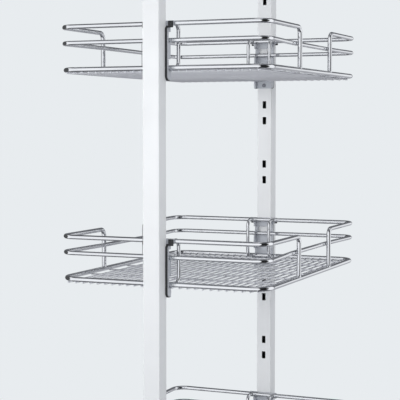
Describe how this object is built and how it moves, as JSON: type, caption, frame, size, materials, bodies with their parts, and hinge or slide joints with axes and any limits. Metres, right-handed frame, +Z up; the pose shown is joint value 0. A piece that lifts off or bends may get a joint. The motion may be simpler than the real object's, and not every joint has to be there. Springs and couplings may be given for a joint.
{
  "type": "pull out larder unit",
  "caption": "Tall pull-out larder frame: chrome wire baskets hung between slotted posts, on telescopic floor runners with a roller guide at the top.",
  "frame": {"origin": "on the cabinet floor under the base tray, midway between the two posts, on the unit's centre plane", "axes": "+X to the right seen from the front, +Y to the back of the cabinet (the unit pulls out along -Y), +Z up"},
  "size_m": [0.3884, 0.577, 1.94],
  "materials": {
    "post_coating": "satin",
    "hanger_coating": "satin",
    "basket_chrome": "polished",
    "sheet_steel": "satin",
    "bracket_steel": "satin",
    "runner_steel": "bright zinc",
    "ball_steel": "polished",
    "rivet_steel": "satin",
    "screw_steel": "dark zinc",
    "cap_plastic": "matt",
    "roller_plastic": "matt",
    "buffer_rubber": "matt",
    "rail_aluminium": "anodised"
  },
  "bodies": {
    "base": {"base_tray": "sheet_steel", "runner_outer_left": "runner_steel", "runner_outer_right": "runner_steel", "base_rivets": "rivet_steel", "stop_buffers": "buffer_rubber", "top_rail": "rail_aluminium"},
    "runner_mid_left": {"runner_mid_left": "runner_steel", "ball_rows_left": "ball_steel"},
    "runner_mid_right": {"runner_mid_right": "runner_steel", "ball_rows_right": "ball_steel"},
    "frame": {"carriage": "sheet_steel", "runner_inner_left": "runner_steel", "runner_inner_right": "runner_steel", "carriage_rivets": "rivet_steel", "post_front": "post_coating", "post_rear": "post_coating", "post_cap_front": "cap_plastic", "post_cap_rear": "cap_plastic", "top_beam": "post_coating", "foot_bracket_front": "bracket_steel", "foot_bracket_rear": "bracket_steel", "head_bracket_front": "bracket_steel", "head_bracket_rear": "bracket_steel", "frame_screws": "screw_steel", "door_bracket_lower": "bracket_steel", "door_bracket_upper": "bracket_steel", "door_screws": "screw_steel", "guide_plate": "bracket_steel", "hanger_front_1": "hanger_coating", "hanger_front_2": "hanger_coating", "hanger_front_3": "hanger_coating", "hanger_front_4": "hanger_coating", "hanger_front_5": "hanger_coating", "hanger_rear_1": "hanger_coating", "hanger_rear_2": "hanger_coating", "hanger_rear_3": "hanger_coating", "hanger_rear_4": "hanger_coating", "hanger_rear_5": "hanger_coating", "hanger_screws": "screw_steel"},
    "guide_roller_front": {"guide_roller_front": "roller_plastic"},
    "guide_roller_rear": {"guide_roller_rear": "roller_plastic"},
    "basket_1": {"basket_rails_1": "basket_chrome", "basket_floor_1": "basket_chrome"},
    "basket_2": {"basket_rails_2": "basket_chrome", "basket_floor_2": "basket_chrome"},
    "basket_3": {"basket_rails_3": "basket_chrome", "basket_floor_3": "basket_chrome"},
    "basket_4": {"basket_rails_4": "basket_chrome", "basket_floor_4": "basket_chrome"},
    "basket_5": {"basket_rails_5": "basket_chrome", "basket_floor_5": "basket_chrome"}
  },
  "joints": [
    {"name": "frame_pull", "type": "slide", "parent": "base", "child": "frame", "axis": [0, -1, 0], "range_m": [0, 0.48]},
    {"name": "runner_left_follow", "type": "slide", "parent": "base", "child": "runner_mid_left", "axis": [0, -1, 0], "range_m": [0, 0.24]},
    {"name": "runner_right_follow", "type": "slide", "parent": "base", "child": "runner_mid_right", "axis": [0, -1, 0], "range_m": [0, 0.24]},
    {"name": "guide_roller_front_spin", "type": "hinge", "parent": "frame", "child": "guide_roller_front", "pos_m": [0, 0.208, 1.927], "axis": [0, 0, 1], "continuous": true},
    {"name": "guide_roller_rear_spin", "type": "hinge", "parent": "frame", "child": "guide_roller_rear", "pos_m": [0, 0.236, 1.927], "axis": [0, 0, 1], "continuous": true},
    {"name": "basket_1_lift", "type": "slide", "parent": "frame", "child": "basket_1", "axis": [0, 0, 1], "range_m": [0, 0.009]},
    {"name": "basket_2_lift", "type": "slide", "parent": "frame", "child": "basket_2", "axis": [0, 0, 1], "range_m": [0, 0.009]},
    {"name": "basket_3_lift", "type": "slide", "parent": "frame", "child": "basket_3", "axis": [0, 0, 1], "range_m": [0, 0.009]},
    {"name": "basket_4_lift", "type": "slide", "parent": "frame", "child": "basket_4", "axis": [0, 0, 1], "range_m": [0, 0.009]},
    {"name": "basket_5_lift", "type": "slide", "parent": "frame", "child": "basket_5", "axis": [0, 0, 1], "range_m": [0, 0.009]}
  ],
  "couplings": [
    {"joint": "runner_left_follow", "follows": "frame_pull", "ratio": 0.5},
    {"joint": "runner_right_follow", "follows": "frame_pull", "ratio": 0.5}
  ]
}
